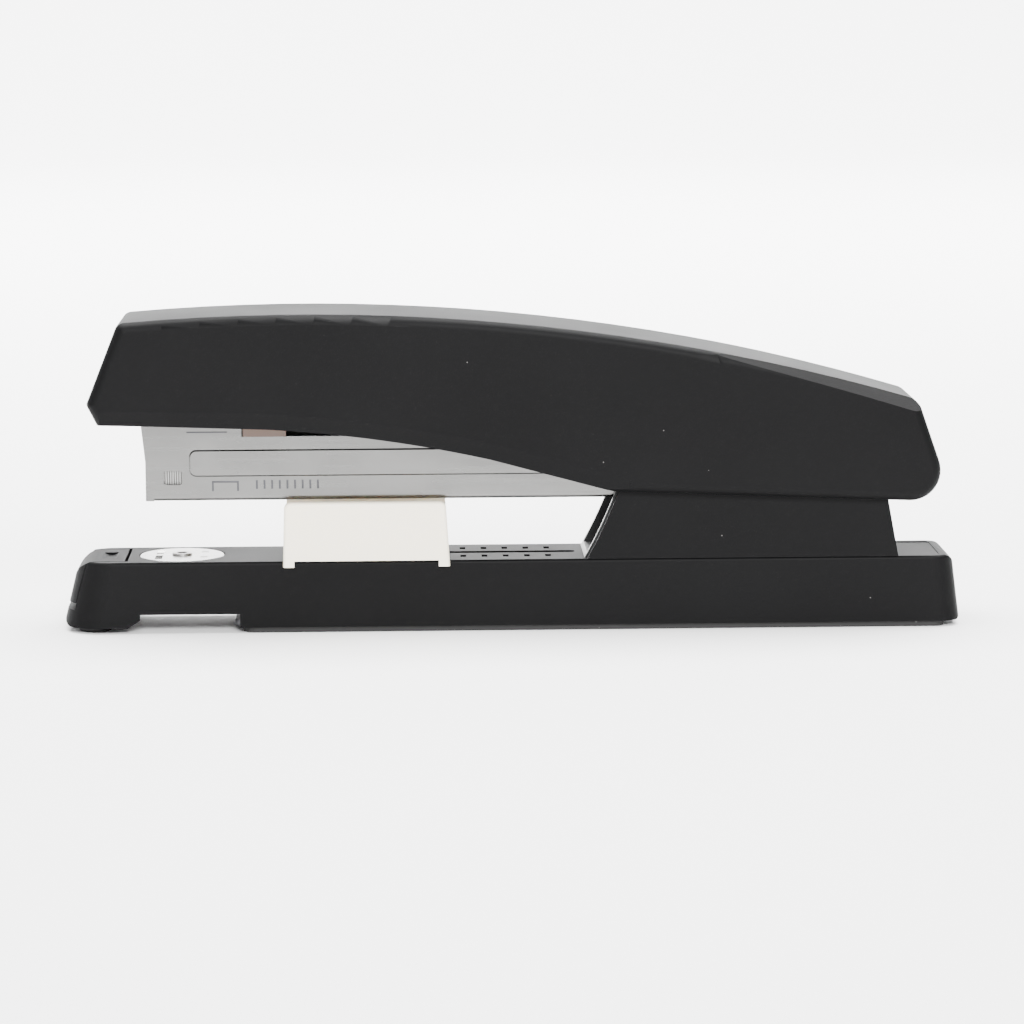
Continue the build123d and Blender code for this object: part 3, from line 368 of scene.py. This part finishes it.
def bracket_steel(colours):
    """Black-painted pressed steel whose forward cut edges are bare."""
    material, tree, shader = new_material("bracket_steel", Roughness=0.42, Specular_IOR_Level=0.35)
    sheet = effect(tree, "rolled_sheet", Lines=900.0, Clouds=80.0)
    shape = node(tree, "ShaderNodeNewGeometry")
    facing = node(tree, "ShaderNodeVectorMath", operation="DOT_PRODUCT")
    tree.links.new(shape.outputs["True Normal"], facing.inputs[0])
    facing.inputs[1].default_value = (-1, 0, 0)
    bare = remap(tree, facing.outputs["Value"], 0.70, 0.85)
    paint = blend_colour(tree, remap(tree, sheet["Cloud"], 0.35, 0.65),
                         shade(colours.shell, 0.9), shade(colours.shell, 1.3))
    tree.links.new(blend_colour(tree, bare, paint, shade(colours.nickel, 2.1)), shader.inputs["Base Color"])
    tree.links.new(bare, shader.inputs["Metallic"])
    put_bump(tree, shader, sheet["Line"], 0.00002, 0.2)
    return material


def brown_nylon(colours):
    """Unfilled nylon of the bushes and the pads on the channel's edge."""
    material, tree, shader = new_material("brown_nylon", Subsurface_Weight=0.1, Subsurface_Scale=0.001)
    grain = effect(tree, "moulded_grain", Cell=1100.0, Softness=0.7)
    tone = remap(tree, grain["Tone"], 0.3, 0.7)
    base = blend_colour(tree, tone, shade(colours.nylon, 0.8), shade(colours.nylon, 1.25))
    tree.links.new(base, shader.inputs["Base Color"])
    tree.links.new(remap(tree, grain["Tone"], 0.3, 0.7, 0.35, 0.5), shader.inputs["Roughness"])
    put_bump(tree, shader, grain["Height"], 0.00002, 0.2)
    return material


def make_materials(colours):
    """Every finish by its slot's name in the record."""
    return {
        "black_shell": black_shell(colours),
        "black_inner": black_inner(colours),
        "cream_plastic": cream_plastic(colours),
        "nickel_steel": plated_sheet("nickel_steel", colours.nickel, (0.22, 0.36), 800.0, 0.35),
        "bright_nickel": turned_nickel(colours),
        "zinc_steel": plated_sheet("zinc_steel", colours.zinc, (0.32, 0.46), 1000.0, 0.3),
        "spring_steel": plated_sheet("spring_steel", colours.spring, (0.25, 0.38), 1600.0, 0.2),
        "staple_wire": plated_sheet("staple_wire", shade(colours.nickel, 1.8), (0.25, 0.4), 1800.0, 0.2),
        "bracket_steel": bracket_steel(colours),
        "black_rubber": moulded_rubber(colours),
        "brown_nylon": brown_nylon(colours),
        "blackened_steel": plated_sheet("blackened_steel", (0.07, 0.07, 0.075), (0.35, 0.5), 900.0, 0.3),
    }


MATERIALS = {}


# ------------------------------------------------------------------ modelling helpers
def deselect():
    """Start the next operator with nothing selected."""
    if bpy.context.object and bpy.context.object.mode != "OBJECT":
        bpy.ops.object.mode_set(mode="OBJECT")
    bpy.ops.object.select_all(action="DESELECT")


def apply_modifier(piece, kind, **settings):
    """Add one modifier, set it and apply it."""
    bpy.context.view_layer.objects.active = piece
    added = piece.modifiers.new(kind.title(), kind)
    for key, value in settings.items():
        setattr(added, key, value)
    bpy.ops.object.modifier_apply(modifier=added.name)


def pick_edges(piece, wanted):
    """Go into edit mode with just those edges selected whose two ends are wanted."""
    bpy.ops.object.mode_set(mode="EDIT")
    bpy.ops.mesh.select_mode(type="EDGE")
    bpy.ops.mesh.select_all(action="DESELECT")
    bpy.ops.object.mode_set(mode="OBJECT")
    points = piece.data.vertices
    for edge in piece.data.edges:
        edge.select = wanted(*(points[i].co for i in edge.vertices))
    bpy.ops.object.mode_set(mode="EDIT")


def settle(piece, name, slot, body, smooth=40):
    """Name a finished piece, put its place into its mesh, shade it and let it ride."""
    deselect()
    piece.select_set(True)
    bpy.context.view_layer.objects.active = piece
    bpy.ops.object.transform_apply(location=True, rotation=True, scale=True)
    bpy.ops.object.mode_set(mode="EDIT")
    bpy.ops.mesh.select_all(action="SELECT")
    bpy.ops.mesh.remove_doubles(threshold=1e-7)
    bpy.ops.mesh.normals_make_consistent(inside=False)
    bpy.ops.object.mode_set(mode="OBJECT")
    bpy.ops.object.shade_smooth_by_angle(angle=radians(smooth))
    piece.name = piece.data.name = name
    piece.data.materials.clear()
    piece.data.materials.append(MATERIALS[slot])
    if body:
        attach(piece, body)
    return piece


def coil(name, start, end, radius, wire, turns):
    """A coil spring whose wire runs round the line from start to end, closed at both ends."""
    deselect()
    start, end = Vector(start), Vector(end)
    length = (end - start).length
    bpy.ops.mesh.primitive_circle_add(vertices=8, radius=wire / 2, fill_type="NGON",
                                      rotation=(pi / 2, 0, 0), location=(radius, 0, wire / 2))
    piece = bpy.context.object
    bpy.ops.object.transform_apply(location=True, rotation=True, scale=True)
    apply_modifier(piece, "SCREW", axis="Z", steps=16, render_steps=16, iterations=turns,
                   screw_offset=(length - wire) / turns, use_merge_vertices=True)
    bpy.ops.object.mode_set(mode="EDIT")
    bpy.ops.mesh.select_all(action="SELECT")
    bpy.ops.mesh.fill_holes(sides=8)
    bpy.ops.object.mode_set(mode="OBJECT")
    turn = (end - start).to_track_quat("Z", "Y")
    piece.rotation_mode = "QUATERNION"
    piece.rotation_quaternion = turn
    piece.location = start
    return piece


def leaf(name, path, width, thick):
    """A leaf spring: a flat strip drawn along a bent path in the XZ plane, then thickened."""
    deselect()
    bpy.ops.mesh.primitive_plane_add(size=1.0)
    piece = bpy.context.object
    bpy.ops.object.mode_set(mode="EDIT")
    bpy.ops.mesh.select_mode(type="VERT")
    bpy.ops.mesh.select_all(action="SELECT")
    bpy.ops.mesh.merge(type="CENTER")
    bpy.ops.transform.translate(value=Vector((path[0][0], -width / 2, path[0][1])))
    for before, after in zip(path, path[1:]):
        step = (after[0] - before[0], 0, after[1] - before[1])
        bpy.ops.mesh.extrude_region_move(TRANSFORM_OT_translate={"value": step})
    bpy.ops.mesh.select_all(action="SELECT")
    bpy.ops.mesh.extrude_region_move(TRANSFORM_OT_translate={"value": (0, width, 0)})
    bpy.ops.object.mode_set(mode="OBJECT")
    apply_modifier(piece, "SOLIDIFY", thickness=thick, offset=0.0)
    apply_modifier(piece, "BEVEL", width=thick * 0.2, segments=2, limit_method="ANGLE")
    return piece


def smooth_path(corners, steps):
    """Points along a line whose inner corners are rounded by a quadratic curve."""
    path = [corners[0]]
    for first, corner, last in zip(corners, corners[1:], corners[2:]):
        low = ((first[0] + corner[0]) / 2, (first[1] + corner[1]) / 2)
        high = ((corner[0] + last[0]) / 2, (corner[1] + last[1]) / 2)
        for i in range(steps + 1):
            t = i / steps
            path.append(tuple((1 - t) ** 2 * a + 2 * t * (1 - t) * b + t * t * c
                              for a, b, c in zip(low, corner, high)))
    path.append(corners[-1])
    return path


# ------------------------------------------------------------------ operators: finishes
class STAPLER_OT_finishes(bpy.types.Operator):
    """Give every node of the frame the finish of its slot"""

    bl_idname = "stapler.finishes"
    bl_label = "Finishes"

    def execute(self, context):
        MATERIALS.update(make_materials(context.scene.stapler_colours))
        for entry in frame["record"]["subparts"]:
            piece = frame["nodes"][entry["node"]]
            piece.data.materials.clear()
            piece.data.materials.append(MATERIALS[entry["material_slot"]])
        return {"FINISHED"}


# ------------------------------------------------------------------ operators: springs
class STAPLER_OT_coil_springs(bpy.types.Operator):
    """Wind the coil springs under the button, on the anvil's stem and behind the follower"""

    bl_idname = "stapler.coil_springs"
    bl_label = "Coil springs"

    def execute(self, context):
        sizes = context.scene.stapler_sizes
        self.upright("button_spring", "button_coil", "base", "front_button_press",
                     turns=6, wire=0.45 * MM, keep=0.9)
        self.upright("anvil_spring", "anvil_coil", "anvil", "anvil_lift",
                     turns=3, wire=0.35 * MM, keep=0.27)
        low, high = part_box("follower_spring")
        middle = (low + high) / 2
        wire = sizes.follower_wire
        piece = coil("follower_coil", (high.x, middle.y, middle.z), (low.x, middle.y, middle.z),
                     (high.y - low.y - wire) / 2, wire, sizes.follower_turns)
        settle(piece, "follower_coil", "spring_steel", "magazine")
        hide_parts("follower_spring")
        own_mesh(piece)
        return {"FINISHED"}

    def upright(self, spring, name, body, joint, turns, wire, keep):
        """One upright spring in the place of its plain sleeve."""
        low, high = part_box(spring)
        middle = (low + high) / 2
        piece = coil(name, (middle.x, middle.y, low.z), (middle.x, middle.y, high.z),
                     (high.x - low.x - wire) / 2, wire, turns)
        settle(piece, name, "spring_steel", body)
        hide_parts(spring)
        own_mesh(piece)


class STAPLER_OT_leaf_springs(bpy.types.Operator):
    """Bend the two leaf springs, which lift the magazine and the handle"""

    bl_idname = "stapler.leaf_springs"
    bl_label = "Leaf springs"

    def execute(self, context):
        thick = context.scene.stapler_sizes.leaf_thickness
        self.strip("lift_spring", "lift_leaf", "base", "magazine", thick, (0.30, 0.66))
        self.strip("handle_spring", "handle_leaf", "magazine", "handle", thick, (0.26, 0.75))
        return {"FINISHED"}

    def strip(self, spring, name, lower, upper, thick, corners):
        """One leaf spring from its riveted foot to its curled tip."""
        low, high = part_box(spring)
        foot, top = low.z + thick / 2, high.z - thick / 2
        reach = high.x - low.x
        bend = high.x - reach * corners[0]
        path = smooth_path([(high.x, foot), (bend, foot), (low.x + reach * 0.10, top),
                            (low.x, top - thick)], 8)
        piece = leaf(name, path, high.y - low.y, thick)
        settle(piece, name, "spring_steel", None)
        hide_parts(spring)
        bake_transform(piece)


# ------------------------------------------------------------------ operators: staples
class STAPLER_OT_staples(bpy.types.Operator):
    """Bend one staple and line up the loaded strip"""

    bl_idname = "stapler.staples"
    bl_label = "Staples"

    def execute(self, context):
        sizes = context.scene.stapler_sizes
        pitch, wire = sizes.staple_pitch, sizes.staple_wire
        low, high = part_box("staple_strip")
        # room in front of the first staple for the blade as it swings down
        first = low.x + 2 * wire
        deselect()
        bpy.ops.mesh.primitive_plane_add(size=1.0, location=(first, 0, high.z))
        piece = bpy.context.object
        piece.scale = (wire, high.y - low.y, 1)
        bpy.ops.object.transform_apply(location=True, rotation=True, scale=True)
        pick_edges(piece, lambda a, b: abs(a.y - b.y) < wire / 2)
        drop = low.z - high.z
        bpy.ops.mesh.extrude_region_move(TRANSFORM_OT_translate={"value": (0, 0, drop)})
        bpy.ops.object.mode_set(mode="OBJECT")
        apply_modifier(piece, "SOLIDIFY", thickness=wire, offset=-1.0, use_even_offset=True)
        apply_modifier(piece, "BEVEL", width=wire * 0.22, segments=1, limit_method="ANGLE")
        count = int((high.x - first) / pitch)
        apply_modifier(piece, "ARRAY", count=count, use_relative_offset=False,
                       use_constant_offset=True, constant_offset_displace=(pitch, 0, 0))
        settle(piece, "staples", "staple_wire", "magazine")
        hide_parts("staple_strip")
        return {"FINISHED"}


# ------------------------------------------------------------------ operators: stamped marks
class STAPLER_OT_marks(bpy.types.Operator):
    """Raise the staple sign, its size ticks and the stamped line on both of the magazine's sides"""

    bl_idname = "stapler.marks"
    bl_label = "Marks"

    PROUD = 0.06 * MM
    RIB_PROUD = 0.45 * MM
    # name, first bar's X and Z, its length and height, number of bars, pitch, in millimetres
    BARS = (
        ("sign_crown", (-64.0, 33.45), (6.0, 0.42), 1, 0.0),
        ("sign_legs", (-66.79, 32.3), (0.42, 1.88), 2, 5.58),
        ("size_ticks", (-57.0, 32.8), (0.45, 2.0), 9, 1.7),
        ("stamped_line", (-68.0, 44.6), (9.0, 0.30), 1, 0.0),
    )

    def execute(self, context):
        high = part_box("magazine_channel")[1]
        for side, where in ((-1, "near"), (1, "far")):
            for name, *bars in self.BARS:
                self.row(f"{name}_{where}", side * (high.y - self.RIB_PROUD), *bars)
        return {"FINISHED"}

    def row(self, name, face, start, size, count, pitch):
        """A row of like raised bars."""
        deselect()
        bpy.ops.mesh.primitive_cube_add(size=1.0, location=(start[0] * MM, face, start[1] * MM))
        piece = bpy.context.object
        piece.scale = (size[0] * MM, 2 * self.PROUD, size[1] * MM)
        bpy.ops.object.transform_apply(location=False, rotation=False, scale=True)
        apply_modifier(piece, "BEVEL", width=self.PROUD * 0.5, segments=2)
        apply_modifier(piece, "ARRAY", count=count, use_relative_offset=False,
                       use_constant_offset=True, constant_offset_displace=(pitch * MM, 0, 0))
        settle(piece, name, "blackened_steel", "magazine")


# ------------------------------------------------------------------ operator: stage
class STAPLER_OT_stage(bpy.types.Operator):
    """Set the floor, the soft lights and the camera"""

    bl_idname = "stapler.stage"
    bl_label = "Stage"

    def execute(self, context):
        self.floor()
        self.world(context.scene)
        self.light("top_softbox", (0.0, 0.15, 0.9), (0.0, 0.05, 0.0), (1.2, 0.7), 50)
        self.light("backdrop_light", (0.0, 0.9, 1.3), (0.0, 2.6, 0.2), (3.0, 0.8), 290)
        self.light("front_fill", (0.15, -1.3, 0.75), (0.0, 0.0, 0.03), (0.7, 0.4), 42)
        self.camera(context.scene)
        return {"FINISHED"}

    def floor(self):
        """A plain pale floor that curves up into a backdrop behind the stapler."""
        deselect()
        bpy.ops.mesh.primitive_plane_add(size=6.0)
        piece = bpy.context.object
        piece.name = "floor"
        pick_edges(piece, lambda a, b: min(a.y, b.y) > 2.9)
        bpy.ops.mesh.extrude_region_move(TRANSFORM_OT_translate={"value": (0, 0, 3.0)})
        bpy.ops.object.mode_set(mode="OBJECT")
        apply_modifier(piece, "BEVEL", width=1.2, segments=12, limit_method="ANGLE")
        bpy.ops.object.shade_smooth()
        material, tree, shader = new_material("floor_paper", Roughness=0.9)
        cloth = node(tree, "ShaderNodeTexNoise", {"Scale": 3.0, "Detail": 2.0})
        tint = blend_colour(tree, cloth.outputs["Fac"], (0.93, 0.93, 0.93), (0.95, 0.95, 0.95))
        tree.links.new(tint, shader.inputs["Base Color"])
        piece.data.materials.append(material)

    def world(self, scene):
        """Even white surroundings."""
        world = bpy.data.worlds.new("studio")
        world.use_nodes = True
        sky = world.node_tree.nodes["Background"]
        sky.inputs["Color"].default_value = (1, 1, 1, 1)
        sky.inputs["Strength"].default_value = 0.82
        scene.world = world

    def light(self, name, place, aim, size, power):
        """One rectangular softbox."""
        lamp = bpy.data.lights.new(name, "AREA")
        lamp.shape = "RECTANGLE"
        lamp.size, lamp.size_y = size
        lamp.energy = power
        held = bpy.data.objects.new(name, lamp)
        bpy.context.scene.collection.objects.link(held)
        held.location = place
        held.rotation_euler = (Vector(aim) - Vector(place)).to_track_quat("-Z", "Y").to_euler()

    def camera(self, scene):
        """Long lens from slightly above and left of square-on."""
        distance, lift, turn, roll = 0.85, radians(8.6), radians(1.7), radians(-0.26)
        aim = Vector((-0.0003, -0.013, 0.0269))
        back = Vector((-sin(turn) * cos(lift), -cos(turn) * cos(lift), sin(lift)))
        lens = bpy.data.cameras.new("camera")
        lens.lens = 134.5
        lens.sensor_width = 36.0
        held = bpy.data.objects.new("camera", lens)
        scene.collection.objects.link(held)
        held.location = aim + back * distance
        look = (-back).to_track_quat("-Z", "Y").to_matrix().to_4x4()
        held.rotation_euler = look.to_euler()
        held.rotation_euler.rotate_axis("Z", roll)
        scene.camera = held


# ------------------------------------------------------------------ panel and running
class STAPLER_PT_panel(bpy.types.Panel):
    """The stapler's steps in the 3D view's sidebar"""

    bl_label = "Stapler"
    bl_idname = "STAPLER_PT_panel"
    bl_space_type = "VIEW_3D"
    bl_region_type = "UI"
    bl_category = "Stapler"

    def draw(self, context):
        for operator in OPERATORS:
            self.layout.operator(operator.bl_idname)
        for settings in (context.scene.stapler_colours, context.scene.stapler_sizes):
            for key in settings.bl_rna.properties.keys():
                if key not in ("rna_type", "name"):
                    self.layout.prop(settings, key)


OPERATORS = (
    STAPLER_OT_finishes,
    STAPLER_OT_coil_springs,
    STAPLER_OT_leaf_springs,
    STAPLER_OT_staples,
    STAPLER_OT_marks,
    STAPLER_OT_stage,
)
CLASSES = (StaplerColours, StaplerSizes, *OPERATORS, STAPLER_PT_panel)


def register():
    for each in CLASSES:
        bpy.utils.register_class(each)
    bpy.types.Scene.stapler_colours = bpy.props.PointerProperty(type=StaplerColours)
    bpy.types.Scene.stapler_sizes = bpy.props.PointerProperty(type=StaplerSizes)


def unregister():
    del bpy.types.Scene.stapler_sizes
    del bpy.types.Scene.stapler_colours
    for each in reversed(CLASSES):
        bpy.utils.unregister_class(each)


def main():
    """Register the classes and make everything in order."""
    register()
    for operator in OPERATORS:
        category, step = operator.bl_idname.split(".")
        getattr(getattr(bpy.ops, category), step)()


if __name__ == "__main__":
    main()
